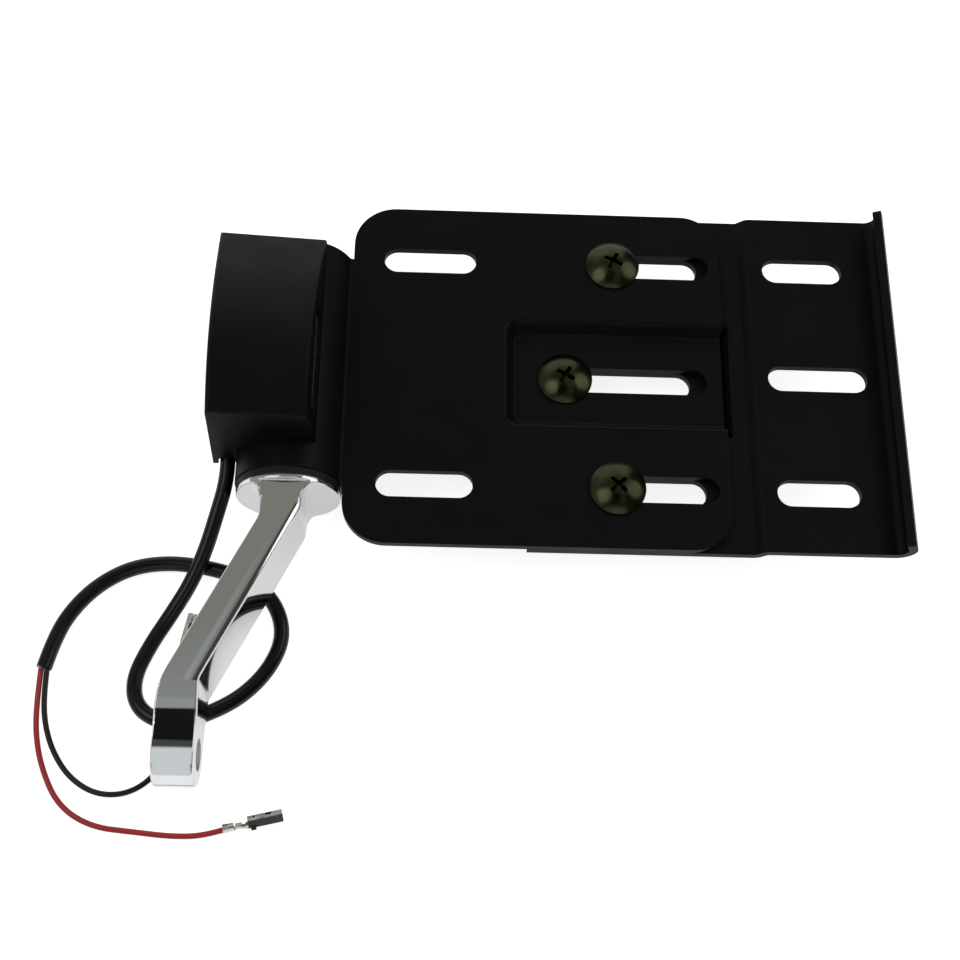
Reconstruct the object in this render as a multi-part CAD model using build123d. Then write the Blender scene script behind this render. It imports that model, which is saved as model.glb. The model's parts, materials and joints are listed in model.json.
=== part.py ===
from build123d import *
import math
import os

# Side mount licence plate holder, lying on its back. Millimetres.
# Drawing frame: X to the right along the plates, Y up along the barrel, Z out of the plate's face.
# Z is 0 on the main plate's face, Y is 0 midway between the two rows of plate slots.
# Every piece is moved to the part's own frame when it is written, see ORIGIN.

# Plates
SHEET = 2.4
PLATE_HALF_HEIGHT = 52.3
PLATE_LEFT = -40.0
PLATE_RIGHT = 65.4
LEFT_CORNER_R = 12.0
RIGHT_CORNER_R = 11.0
SLOT_WIDTH = 7.8
SLOT_ROW = 35.0
LEFT_SLOT_X = -18.0
LEFT_SLOT_LENGTH = 26.4

# Adjusting slots of the main plate
ADJUST_SLOT_RIGHT = 62.3
ADJUST_SLOT_LENGTH = 34.0
MIDDLE_SLOT_RIGHT = 61.0
MIDDLE_SLOT_LENGTH = 46.5

# Pressed recess of the main plate, and the channel of the extension plate that it nests in
RECESS_DEPTH = 4.2
RECESS_LEFT = 4.0
RECESS_HALF = 16.3
WALL_RUN = 2.3
END_WALL_RUN = 1.65
RECESS_CORNER_R = 3.0
CHANNEL_CORNER_R = 0.8
NEST_GAP = 0.35
RIM_BEND_R = 1.2
FLOOR_BEND_R = 1.0
CHANNEL_BEND_R = 0.6

# Extension plate, its edge flange bent past square
EXT_LEFT = 10.0
JOGGLE_START = 71.4
JOGGLE_RUN = 2.6
JOGGLE_BEND_R = 0.8
FLANGE_BEND_X = 108.85
FLANGE_BEND_R = 2.6
FLANGE_LEAN = 24.0
FLANGE_STRAIGHT = 3.55
FLANGE_CORNER_R = 1.5
EXT_ADJUST_LENGTH = 34.0
EXT_MIDDLE_LENGTH = 41.0
RIGHT_SLOT_X = 89.5
RIGHT_SLOT_LENGTH = 23.0
RIGHT_MIDDLE_SLOT_X = 91.6
RIGHT_MIDDLE_SLOT_LENGTH = 28.0

# Plate screws, M6, with washers and nuts behind. Insets run from the round end's middle of a slot.
SCREW_ROW_INSET = 2.25
SCREW_MIDDLE_INSET = 2.35
EXT_ROW_INSET = 5.45
EXT_MIDDLE_INSET = 1.25
SCREW_D = 6.0
SCREW_LENGTH = 14.0
SCREW_HEAD_D = 15.4
SCREW_HEAD_RIM = 0.6
SCREW_HEAD_HEIGHT = 3.4
CROSS_WIDTH = 1.25
CROSS_SPAN = 5.7
CROSS_DEPTH = 2.2
CROSS_TAPER = 6.0
SCREW_TURNS = (-26.0, -29.0, 44.0)
THREAD_GAP = 0.05
WASHER_D = 12.0
WASHER_T = 1.6
WASHER_GAP = 0.2
SPRING_WASHER_D = 11.0
SPRING_WASHER_T = 1.6
SPRING_WASHER_SPLIT = 0.8
NUT_FLATS = 10.0
NUT_HEIGHT = 5.0
NUT_CHAMFER = 0.5

# Barrel, welded to the main plate
BARREL_X = -54.75
BARREL_Z = -5.0
BARREL_D = 29.4
BARREL_WALL = 2.6
BARREL_TOP = 34.9
BARREL_BOTTOM = -34.8
WEB_T = 4.0
WELD_R = 1.2
CAP_T = 2.0
CAP_DEPTH = 6.0
CAP_WALL = 1.6
CAP_GAP = 0.1

# Swivel: the arm's stud through the barrel's web
FRICTION_WASHER_T = 2.0
FRICTION_WASHER_D = 28.6
STUD_D = 10.0
STUD_GAP = 0.3
PIVOT_WASHER_D = 20.0
PIVOT_WASHER_T = 2.0
PIVOT_SPRING_D = 16.0
PIVOT_SPRING_T = 2.2
PIVOT_NUT_FLATS = 16.0
PIVOT_NUT_HEIGHT = 8.0
STUD_PROUD = 3.0

# Arm
DISC_D = 28.3
DISC_T = 1.3
ARM_WIDTH = 10.9
ARM_FRONT_Z = 7.4
ARM_BACK_Z = -15.2
ARM_ROOT_X = -55.6
ARM_KNEE_DROP = 8.8
ARM_OFFSET = 22.85
ARM_LOWER_KNEE_Y = -93.9
ARM_TAPER_TOP_Y = -89.0
ARM_TAPER_END_Y = -104.0
OUTER_KNEE_R = 22.0
INNER_KNEE_R = 5.0
UPPER_KNEE_R = 5.0
ROOT_FLARE_R = 4.7
ARM_EDGE_R = 0.9
BOSS_D = 16.5
BOSS_Y = -109.2
BOSS_Z = -4.75
BOSS_BORE_D = 8.2

# Light housing
HOUSING_BOTTOM = -27.1
HOUSING_BACK_Z = -7.6
HOUSING_LEFT_BACK_X = -76.2
HOUSING_LEFT_LEAN = 1.6
HOUSING_LEFT_DRAFT = 0.047
HOUSING_RIGHT_FRONT_X = -48.45
HOUSING_RIGHT_DRAFT = 0.071
HOUSING_TOP_Z = 12.4
HOUSING_MID_Y = 8.0
HOUSING_MID_Z = 25.0
HOUSING_CROWN_Y = -16.0
HOUSING_CROWN_Z = 28.1
HOUSING_LIP_Z = 25.0
HOUSING_CANT = 2.3
HOUSING_WALL = 1.8
HOUSING_GAP = 0.15
HOUSING_EDGE_R = 1.2

# Lamp in the housing's right wall
LENS_Y = -6.5
LENS_Z = 15.4
LENS_LENGTH = 30.0
LENS_HEIGHT = 6.6
LENS_CORNER_R = 1.5
LENS_RIM = 1.2
LENS_GAP = 0.15
LENS_FACE_T = 1.4
LENS_RECESS = 0.6
LENS_FLANGE_T = 1.2
LENS_TRAY = 3.0
LENS_TRAY_WALL = 1.0
BOARD_T = 1.6
LED_COUNT = 3
LED_PITCH = 9.0
LED_LENGTH = 3.5
LED_WIDTH = 2.8
LED_T = 1.9
RESISTOR_LENGTH = 3.2
RESISTOR_WIDTH = 1.6
RESISTOR_T = 0.6
RESISTOR_YS = (-7.0, 7.0)

# Housing screws, M4, from inside the barrel into bosses of the housing
HOUSING_SCREW_YS = (-12.5, 20.0)
HOUSING_SCREW_TURN = 38.0
HOUSING_SCREW_D = 4.0
HOUSING_SCREW_HEAD_D = 7.0
HOUSING_SCREW_HEAD_T = 2.2
HOUSING_SCREW_LENGTH = 10.0
HOUSING_SCREW_SOCKET = 2.5
HOUSING_SCREW_GAP = 0.2
SPOTFACE_GAP = 0.3
HOUSING_BOSS_D = 8.0

# Lamp lead. The route's points lie in the drawing frame.
SHEATH_D = 4.2
WIRE_D = 1.5
NOTCH_GAP = 0.3
SHEATH_ROUTE = [
    (-71.7, -4.0, 2.4),
    (-71.9, -12.5, -2.0),
    (-72.1, -22.0, -5.3),
    (-72.6, -32.7, -7.0),
    (-74.6, -42.0, -8.9),
    (-77.1, -51.0, -11.7),
    (-80.7, -59.7, -14.9),
    (-85.0, -68.4, -17.3),
    (-90.3, -76.8, -17.6),
    (-95.2, -85.7, -17.4),
    (-93.2, -95.6, -16.2),
    (-84.4, -101.4, -15.4),
    (-74.2, -97.6, -16.6),
    (-63.7, -91.7, -17.6),
    (-55.5, -83.4, -17.6),
    (-53.4, -72.4, -17.6),
    (-57.8, -61.6, -17.6),
    (-67.0, -56.3, -17.6),
    (-77.0, -53.8, -17.6),
    (-87.2, -53.0, -17.6),
    (-97.1, -54.1, -17.6),
    (-105.9, -58.6, -17.6),
    (-112.3, -65.8, -17.6),
    (-116.8, -74.2, -17.6),
    (-117.5, -83.6, -17.6),
]
RED_ROUTE = [
    (-118.35, -83.65, -17.8),
    (-119.3, -91.9, -18.8),
    (-118.4, -100.8, -18.95),
    (-115.2, -109.7, -18.95),
    (-109.6, -118.4, -18.95),
    (-100.6, -125.4, -18.95),
    (-89.8, -126.6, -18.95),
    (-79.8, -128.3, -18.9),
    (-71.2, -125.75, -18.55),
    (-64.2, -124.1, -18.55),
]
BLACK_ROUTE = [
    (-116.65, -83.75, -17.8),
    (-116.7, -91.0, -18.8),
    (-116.0, -98.8, -18.95),
    (-112.7, -106.0, -18.95),
    (-107.3, -112.1, -18.95),
    (-100.3, -116.8, -18.95),
    (-92.0, -116.4, -18.95),
    (-86.6, -110.0, -18.95),
    (-84.2, -102.4, -18.95),
    (-83.9, -94.3, -18.9),
    (-82.6, -86.5, -18.55),
    (-81.7, -78.9, -18.55),
]

# Crimp terminals: a folded tab box, a neck and a crimped barrel round the wire
TAB_BOX_LENGTH = 8.5
TAB_BOX_WIDTH = 3.2
TAB_BOX_HEIGHT = 2.0
TAB_SHEET = 0.4
TAB_NECK_LENGTH = 1.6
TAB_CRIMP_LENGTH = 5.5
TAB_CRIMP_WALL = 0.35

RECESS_FLOOR_Z = -RECESS_DEPTH
BARREL_R = BARREL_D / 2
BARREL_BORE_R = BARREL_R - BARREL_WALL
ARM_END_X = ARM_ROOT_X - ARM_OFFSET
DISC_TOP = BARREL_BOTTOM - FRICTION_WASHER_T
DISC_BOTTOM = DISC_TOP - DISC_T
ARM_KNEE_Y = DISC_BOTTOM - ARM_KNEE_DROP
WEB_TOP = BARREL_BOTTOM + WEB_T
EXT_FACE_Z = -SHEET
FLANGE_OUTER_X = FLANGE_BEND_X + FLANGE_BEND_R + SHEET
SCREW_ROW_X = ADJUST_SLOT_RIGHT - ADJUST_SLOT_LENGTH + SLOT_WIDTH / 2 + SCREW_ROW_INSET
SCREW_MIDDLE_X = MIDDLE_SLOT_RIGHT - MIDDLE_SLOT_LENGTH + SLOT_WIDTH / 2 + SCREW_MIDDLE_INSET
EXT_ADJUST_RIGHT = SCREW_ROW_X - EXT_ROW_INSET - SLOT_WIDTH / 2 + EXT_ADJUST_LENGTH
EXT_MIDDLE_RIGHT = SCREW_MIDDLE_X - EXT_MIDDLE_INSET - SLOT_WIDTH / 2 + EXT_MIDDLE_LENGTH
SCREW_PLACES = [
    (SCREW_ROW_X, SLOT_ROW, 0.0),
    (SCREW_MIDDLE_X, 0.0, RECESS_FLOOR_Z),
    (SCREW_ROW_X, -SLOT_ROW, 0.0),
]

# The part's origin: the middle of the holder's plan, on the surface that it lies on, the lead left out
LOWEST_Z = min(BARREL_Z - BARREL_R, RECESS_FLOOR_Z - SCREW_LENGTH)
ORIGIN = (
    -(ARM_END_X - ARM_WIDTH / 2 + FLANGE_OUTER_X) / 2,
    -(BOSS_Y - BOSS_D / 2 + PLATE_HALF_HEIGHT) / 2,
    -LOWEST_Z,
)


def span(x0, x1, y0, y1, z0, z1):
    """Box between two corners."""
    middle = Pos((x0 + x1) / 2, (y0 + y1) / 2, (z0 + z1) / 2)
    return middle * Box(x1 - x0, y1 - y0, z1 - z0)


def along_barrel(radius, y0, y1):
    """Cylinder on the barrel's axis between two heights."""
    middle = Pos(BARREL_X, (y0 + y1) / 2, BARREL_Z)
    return middle * Rot(X=90) * Cylinder(radius, y1 - y0)


def upright(radius, z0, z1):
    """Cylinder on the Z axis between two heights."""
    return Pos(0, 0, (z0 + z1) / 2) * Cylinder(radius, z1 - z0)


def slot_cut(centre_x, centre_y, length, z0, z1):
    """Round-ended slot along X, cut from z0 to z1."""
    return extrude(Pos(centre_x, centre_y, z0) * SlotOverall(length, SLOT_WIDTH), z1 - z0)


def slot_cut_to(right_end, centre_y, length, z0, z1):
    """Round-ended slot placed by its right end."""
    return slot_cut(right_end - length / 2, centre_y, length, z0, z1)


def pressed(left, right, half, top_z, left_run, right_run, corner_r, floor_r):
    """Trough with sloped walls, from its rim at top_z down by the depth of the recess, its floor's edge round."""
    rim = RectangleRounded(right - left, 2 * half, corner_r)
    floor_left = left + left_run
    floor_right = right - right_run
    floor = RectangleRounded(floor_right - floor_left, 2 * (half - WALL_RUN), corner_r)
    rim_face = Pos((left + right) / 2, 0, top_z) * rim
    floor_face = Pos((floor_left + floor_right) / 2, 0, top_z - RECESS_DEPTH) * floor
    trough = loft([rim_face, floor_face], ruled=True)
    return fillet(trough.edges().group_by(Axis.Z)[0], floor_r)


def rim_edges(sheet, z, left, right, half):
    """Edges where a trough meets a face of its sheet."""
    return [
        edge
        for edge in sheet.edges()
        if abs(edge.bounding_box().min.Z - z) < 0.01
        and abs(edge.bounding_box().max.Z - z) < 0.01
        and left - 0.01 < edge.center().X < right + 0.01
        and abs(edge.center().Y) < half + 0.01
    ]


def wall_shift(run):
    """How far a sloped wall's back lies outside its front, for one thickness of sheet."""
    slope = math.atan2(RECESS_DEPTH, run)
    return SHEET * math.tan(slope / 2)


def ring(outer_d, inner_d, height):
    """Flat ring standing on Z = 0."""
    return upright(outer_d / 2, 0, height) - upright(inner_d / 2, 0, height)


def split_ring(outer_d, inner_d, height, split):
    """Spring washer: a flat ring with a slanted cut."""
    cut = Pos(outer_d / 2, 0, height / 2) * Rot(X=25) * Box(outer_d, split, 3 * height)
    return ring(outer_d, inner_d, height) - cut


def hex_nut(flats, hole_d, height):
    """Hexagon nut standing on Z = 0, its corners turned off by a cone."""
    blank = extrude(RegularPolygon(flats / math.sqrt(3), 6), height)
    turned = chamfer(upright(flats / math.sqrt(3), 0, height).edges(), NUT_CHAMFER)
    return (blank & turned) - upright(hole_d / 2, 0, height)


def main_plate():
    """Sheet with its slots and pressed recess, and the swivel barrel welded to its left edge."""
    outline = Rectangle(PLATE_RIGHT - PLATE_LEFT, 2 * PLATE_HALF_HEIGHT)
    outline = fillet(outline.vertices().group_by(Axis.X)[0], LEFT_CORNER_R)
    outline = fillet(outline.vertices().group_by(Axis.X)[-1], RIGHT_CORNER_R)
    outline = Pos((PLATE_LEFT + PLATE_RIGHT) / 2, 0, -SHEET) * outline
    sheet = extrude(outline, SHEET)
    beyond = PLATE_RIGHT + 2 * RECESS_HALF
    shift = wall_shift(WALL_RUN)
    front = pressed(
        RECESS_LEFT, beyond, RECESS_HALF, 0, WALL_RUN, WALL_RUN, RECESS_CORNER_R, FLOOR_BEND_R
    )
    back = pressed(
        RECESS_LEFT - shift,
        beyond,
        RECESS_HALF + shift,
        -SHEET,
        WALL_RUN,
        WALL_RUN,
        RECESS_CORNER_R + shift,
        FLOOR_BEND_R + SHEET,
    )
    back = back & span(PLATE_LEFT, PLATE_RIGHT, -RECESS_HALF * 2, RECESS_HALF * 2, -4 * SHEET, 0)
    sheet = sheet + back - front
    sheet = fillet(rim_edges(sheet, 0, RECESS_LEFT, PLATE_RIGHT - 1, RECESS_HALF), RIM_BEND_R)
    z0 = RECESS_FLOOR_Z - 2 * SHEET
    for y in (-SLOT_ROW, SLOT_ROW):
        sheet -= slot_cut(LEFT_SLOT_X, y, LEFT_SLOT_LENGTH, z0, SHEET)
        sheet -= slot_cut_to(ADJUST_SLOT_RIGHT, y, ADJUST_SLOT_LENGTH, z0, SHEET)
    sheet -= slot_cut_to(MIDDLE_SLOT_RIGHT, 0, MIDDLE_SLOT_LENGTH, z0, SHEET)
    tongue = span(BARREL_X, PLATE_LEFT + SHEET, BARREL_BOTTOM, BARREL_TOP, -SHEET, 0)
    tube = along_barrel(BARREL_R, BARREL_BOTTOM, BARREL_TOP)
    weldment = sheet + tongue + tube
    creases = weldment.edges().filter_by(Axis.Y).filter_by_position(
        Axis.X, BARREL_X + BARREL_R / 2, PLATE_LEFT - 0.01
    )
    weldment = fillet(creases, WELD_R)
    weldment -= along_barrel(BARREL_BORE_R, WEB_TOP, BARREL_TOP)
    weldment -= along_barrel(STUD_D / 2 + STUD_GAP, BARREL_BOTTOM, WEB_TOP)
    for y in HOUSING_SCREW_YS:
        weldment -= housing_screw_frame(y) * upright(HOUSING_SCREW_D / 2 + HOUSING_SCREW_GAP, 0, BARREL_R * 2)
        weldment -= housing_screw_frame(y) * upright(
            HOUSING_SCREW_HEAD_D / 2 + SPOTFACE_GAP, 0, BARREL_BORE_R
        )
    return weldment


def extension_profile():
    """Section of the extension plate: flat, joggle, flat and flange."""
    step = JOGGLE_START + JOGGLE_RUN
    shift = SHEET * math.tan(math.atan2(SHEET, JOGGLE_RUN) / 2)
    low = [(JOGGLE_START + shift, -2 * SHEET), (step + shift, -SHEET)]
    high = [(JOGGLE_START, -SHEET), (step, 0)]
    inner_start, inner_middle, inner_end, inner_top = flange_points(FLANGE_BEND_R)
    outer_start, outer_middle, outer_end, outer_top = flange_points(FLANGE_BEND_R + SHEET)
    outline = (
        Polyline(
            inner_start, high[1], high[0], (EXT_LEFT, -SHEET), (EXT_LEFT, -2 * SHEET), *low, outer_start
        )
        + ThreePointArc(outer_start, outer_middle, outer_end)
        + Polyline(outer_end, outer_top, inner_top, inner_end)
        + ThreePointArc(inner_end, inner_middle, inner_start)
    )
    section = make_face(outline)
    bends = [
        (high[0], JOGGLE_BEND_R),
        (high[1], JOGGLE_BEND_R + SHEET),
        (low[0], JOGGLE_BEND_R + SHEET),
        (low[1], JOGGLE_BEND_R),
    ]
    for place, radius in bends:
        corner = section.vertices().sort_by_distance(Vector(*place, 0))[0]
        section = fillet(corner, radius)
    return section


def flange_points(radius):
    """One side of the flange in the section: start, middle and end of its bend, and its top."""
    turn = math.radians(90 + FLANGE_LEAN)
    centre = Vector(FLANGE_BEND_X, FLANGE_BEND_R)
    start, middle, end = (
        centre + Vector(math.sin(angle), -math.cos(angle)) * radius for angle in (0, turn / 2, turn)
    )
    return start, middle, end, end + Vector(math.cos(turn), math.sin(turn)) * FLANGE_STRAIGHT


def extension_plate():
    """Sheet behind the main plate, with its channel, slots and edge flange."""
    facing_down_y = Plane(origin=(0, PLATE_HALF_HEIGHT, 0), x_dir=(1, 0, 0), z_dir=(0, -1, 0))
    sheet = extrude(facing_down_y * extension_profile(), 2 * PLATE_HALF_HEIGHT)
    top = (flange_points(FLANGE_BEND_R)[3] + flange_points(FLANGE_BEND_R + SHEET)[3]) / 2
    for y in (-PLATE_HALF_HEIGHT, PLATE_HALF_HEIGHT):
        corner = sorted(sheet.edges(), key=lambda edge: (edge.center() - Vector(top.X, y, top.Y)).length)[0]
        sheet = fillet(corner, FLANGE_CORNER_R)
    beyond = EXT_LEFT - 2 * RECESS_HALF
    half = RECESS_HALF + wall_shift(WALL_RUN) + NEST_GAP
    floor_right = PLATE_RIGHT + NEST_GAP
    right = floor_right + END_WALL_RUN
    side_shift = wall_shift(WALL_RUN)
    end_shift = wall_shift(END_WALL_RUN)
    front = pressed(
        beyond, right, half, EXT_FACE_Z, WALL_RUN, END_WALL_RUN, CHANNEL_CORNER_R, CHANNEL_BEND_R
    )
    back = pressed(
        beyond,
        right + end_shift,
        half + side_shift,
        EXT_FACE_Z - SHEET,
        WALL_RUN,
        END_WALL_RUN,
        CHANNEL_CORNER_R + end_shift,
        CHANNEL_BEND_R + SHEET / 2,
    )
    keep = span(EXT_LEFT, JOGGLE_START * 2, -2 * half, 2 * half, -6 * SHEET, 0)
    sheet = sheet + (back & keep) - front
    sheet = fillet(rim_edges(sheet, EXT_FACE_Z, EXT_LEFT + 1, right, half), RIM_BEND_R)
    z0 = EXT_FACE_Z - RECESS_DEPTH - 2 * SHEET
    for y in (-SLOT_ROW, SLOT_ROW):
        sheet -= slot_cut_to(EXT_ADJUST_RIGHT, y, EXT_ADJUST_LENGTH, z0, SHEET)
        sheet -= slot_cut(RIGHT_SLOT_X, y, RIGHT_SLOT_LENGTH, z0, SHEET)
    sheet -= slot_cut_to(EXT_MIDDLE_RIGHT, 0, EXT_MIDDLE_LENGTH, z0, SHEET)
    sheet -= slot_cut(RIGHT_MIDDLE_SLOT_X, 0, RIGHT_MIDDLE_SLOT_LENGTH, z0, SHEET)
    return sheet


def truss_screw():
    """Truss head screw with a cross recess, its seat on Z = 0."""
    half = SCREW_HEAD_D / 2
    dome = SCREW_HEAD_HEIGHT - SCREW_HEAD_RIM
    dome_r = (dome**2 + half**2) / (2 * dome)
    lean = math.asin(half / dome_r) / 2
    middle = (dome_r * math.sin(lean), SCREW_HEAD_HEIGHT - dome_r * (1 - math.cos(lean)))
    edge = (half, SCREW_HEAD_RIM)
    crown = (0, SCREW_HEAD_HEIGHT)
    outline = Polyline(crown, (0, 0), (half, 0), edge) + ThreePointArc(edge, middle, crown)
    head = revolve(Plane.XZ * make_face(outline), Axis.Z)
    shank = upright(SCREW_D / 2, -SCREW_LENGTH, 0)
    shank = chamfer(shank.edges().sort_by(Axis.Z)[0], SCREW_D / 8)
    cross = Rectangle(CROSS_SPAN, CROSS_WIDTH) + Rectangle(CROSS_WIDTH, CROSS_SPAN)
    recess = extrude(Pos(0, 0, SCREW_HEAD_HEIGHT) * cross, -CROSS_DEPTH, taper=CROSS_TAPER)
    return head + shank - recess


def plate_screws():
    screw = truss_screw()
    return [Pos(*place) * Rot(Z=turn) * screw for place, turn in zip(SCREW_PLACES, SCREW_TURNS)]


def behind_plates(piece, depth):
    """A copy of a piece at each screw, its back face at a depth behind the extension plate."""
    return [Pos(x, y, z - 2 * SHEET - depth) * piece for x, y, z in SCREW_PLACES]


def flat_washers():
    washer = ring(WASHER_D, SCREW_D + 2 * WASHER_GAP, WASHER_T)
    return behind_plates(washer, WASHER_T)


def spring_washers():
    washer = split_ring(
        SPRING_WASHER_D, SCREW_D + 2 * WASHER_GAP, SPRING_WASHER_T, SPRING_WASHER_SPLIT
    )
    return behind_plates(washer, WASHER_T + SPRING_WASHER_T)


def plate_nuts():
    nut = hex_nut(NUT_FLATS, SCREW_D + 2 * THREAD_GAP, NUT_HEIGHT)
    return behind_plates(nut, WASHER_T + SPRING_WASHER_T + NUT_HEIGHT)


def barrel_cap():
    """Plug in the barrel's open top, hollow from below."""
    plug = along_barrel(BARREL_BORE_R - CAP_GAP, BARREL_TOP - CAP_DEPTH, BARREL_TOP)
    hollow = along_barrel(
        BARREL_BORE_R - CAP_GAP - CAP_WALL, BARREL_TOP - CAP_DEPTH, BARREL_TOP - CAP_T
    )
    return plug - hollow


def friction_washer():
    return along_barrel(FRICTION_WASHER_D / 2, DISC_TOP, BARREL_BOTTOM) - along_barrel(
        STUD_D / 2 + STUD_GAP, DISC_TOP, BARREL_BOTTOM
    )


def on_stud(piece, height):
    """A piece made on Z, stood on the arm's stud with its base at a height above the web."""
    return Pos(BARREL_X, WEB_TOP + height, BARREL_Z) * Rot(X=-90) * piece


def pivot_washer():
    return on_stud(ring(PIVOT_WASHER_D, STUD_D + 2 * WASHER_GAP, PIVOT_WASHER_T), 0)


def pivot_spring_washer():
    washer = split_ring(
        PIVOT_SPRING_D, STUD_D + 2 * WASHER_GAP, PIVOT_SPRING_T, SPRING_WASHER_SPLIT
    )
    return on_stud(washer, PIVOT_WASHER_T)


def pivot_nut():
    nut = hex_nut(PIVOT_NUT_FLATS, STUD_D + 2 * THREAD_GAP, PIVOT_NUT_HEIGHT)
    return on_stud(nut, PIVOT_WASHER_T + PIVOT_SPRING_T)


def arm_outline():
    """Front view of the arm: straight root, slanted shank, straight end."""
    half = ARM_WIDTH / 2
    slant = ARM_OFFSET / (ARM_KNEE_Y - ARM_LOWER_KNEE_Y)
    # The right knees lie above the left ones, which makes the slanted shank slimmer than its ends
    stagger = half * math.tan(math.atan(slant) / 2)
    bottom = BOSS_Y - BOSS_D
    points = [
        (ARM_ROOT_X + half, DISC_BOTTOM),
        (ARM_ROOT_X + half, ARM_KNEE_Y + stagger),
        (ARM_END_X + half, ARM_LOWER_KNEE_Y + stagger),
        (ARM_END_X + half, bottom),
        (ARM_END_X - half, bottom),
        (ARM_END_X - half, ARM_LOWER_KNEE_Y - stagger),
        (ARM_ROOT_X - half, ARM_KNEE_Y - stagger),
        (ARM_ROOT_X - half, DISC_BOTTOM),
    ]
    outline = make_face(Polyline(*points, close=True))
    knees = [(1, UPPER_KNEE_R), (2, INNER_KNEE_R), (5, OUTER_KNEE_R), (6, UPPER_KNEE_R)]
    for index, radius in knees:
        knee = outline.vertices().sort_by_distance(Vector(*points[index], 0))[0]
        outline = fillet(knee, radius)
    return outline


def arm_side():
    """Side view of the arm: full depth, then tapered to the round boss."""
    half = BOSS_D / 2
    front = [(DISC_BOTTOM, ARM_FRONT_Z), (ARM_TAPER_TOP_Y, ARM_FRONT_Z)]
    front_end = (ARM_TAPER_END_Y, BOSS_Z + half)
    back_end = (ARM_TAPER_END_Y, BOSS_Z - half)
    taper_front = Spline(front[1], front_end, tangents=[(-1, 0), (-1, 0)])
    boss = ThreePointArc((BOSS_Y, BOSS_Z + half), (BOSS_Y - half, BOSS_Z), (BOSS_Y, BOSS_Z - half))
    back_start = (ARM_TAPER_TOP_Y, ARM_BACK_Z)
    taper_back = Spline(back_end, back_start, tangents=[(1, 0), (1, 0)])
    outline = [
        Line(front[0], front[1]),
        taper_front,
        Line(front_end, (BOSS_Y, BOSS_Z + half)),
        boss,
        Line((BOSS_Y, BOSS_Z - half), back_end),
        taper_back,
        Line(back_start, (DISC_BOTTOM, ARM_BACK_Z)),
        Line((DISC_BOTTOM, ARM_BACK_Z), front[0]),
    ]
    return make_face(outline)


def root_flare():
    """Concave flare of the arm's two flanks into the disc."""
    left = ARM_ROOT_X - ARM_WIDTH / 2
    right = ARM_ROOT_X + ARM_WIDTH / 2
    low = DISC_BOTTOM - ROOT_FLARE_R
    inset = ROOT_FLARE_R * math.sqrt(0.5)
    outline = [
        Line((left - ROOT_FLARE_R, DISC_BOTTOM), (right + ROOT_FLARE_R, DISC_BOTTOM)),
        ThreePointArc(
            (right + ROOT_FLARE_R, DISC_BOTTOM),
            (right + ROOT_FLARE_R - inset, low + inset),
            (right, low),
        ),
        Line((right, low), (left, low)),
        ThreePointArc(
            (left, low),
            (left - ROOT_FLARE_R + inset, low + inset),
            (left - ROOT_FLARE_R, DISC_BOTTOM),
        ),
    ]
    flare = extrude(Pos(0, 0, ARM_BACK_Z) * make_face(outline), ARM_FRONT_Z - ARM_BACK_Z)
    return flare & along_barrel(DISC_D / 2, low, DISC_BOTTOM)


def arm():
    """Casting: stud, disc, cranked arm and cross bored boss."""
    depth = ARM_FRONT_Z - ARM_BACK_Z
    prism = extrude(Pos(0, 0, ARM_BACK_Z) * arm_outline(), depth)
    side_plane = Plane(origin=(ARM_END_X - ARM_WIDTH, 0, 0), x_dir=(0, 1, 0), z_dir=(1, 0, 0))
    side = extrude(side_plane * arm_side(), ARM_OFFSET + 3 * ARM_WIDTH)
    shank = prism & side
    rounded = [edge for edge in shank.edges() if edge.center().Y < DISC_BOTTOM - 0.01]
    shank = fillet(rounded, ARM_EDGE_R)
    disc = along_barrel(DISC_D / 2, DISC_BOTTOM, DISC_TOP)
    stud_top = WEB_TOP + PIVOT_WASHER_T + PIVOT_SPRING_T + PIVOT_NUT_HEIGHT + STUD_PROUD
    stud = along_barrel(STUD_D / 2, DISC_TOP, stud_top)
    stud = chamfer(stud.edges().sort_by(Axis.Y)[-1], STUD_D / 10)
    bore = Pos(ARM_END_X, BOSS_Y, BOSS_Z) * Rot(Y=90) * Cylinder(BOSS_BORE_D / 2, 2 * ARM_WIDTH)
    return shank + root_flare() + disc + stud - bore


def housing_side(x, inset):
    """Side view of the light housing at one x, its walls moved in by an inset."""
    across = (x - HOUSING_LEFT_BACK_X) / (HOUSING_RIGHT_FRONT_X - HOUSING_LEFT_BACK_X)
    drop = HOUSING_CANT * across + inset
    bottom = HOUSING_BOTTOM + inset
    top = BARREL_TOP - inset
    back = 2 * HOUSING_BACK_Z
    crown = [
        (bottom, HOUSING_LIP_Z - drop),
        (HOUSING_CROWN_Y, HOUSING_CROWN_Z - drop),
        (HOUSING_MID_Y, HOUSING_MID_Z - drop),
        (top, HOUSING_TOP_Z - drop),
    ]
    outline = Spline(*crown) + Polyline(crown[-1], (top, back), (bottom, back), crown[0])
    plane = Plane(origin=(x, 0, 0), x_dir=(0, 1, 0), z_dir=(1, 0, 0))
    return plane * make_face(outline)


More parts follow.
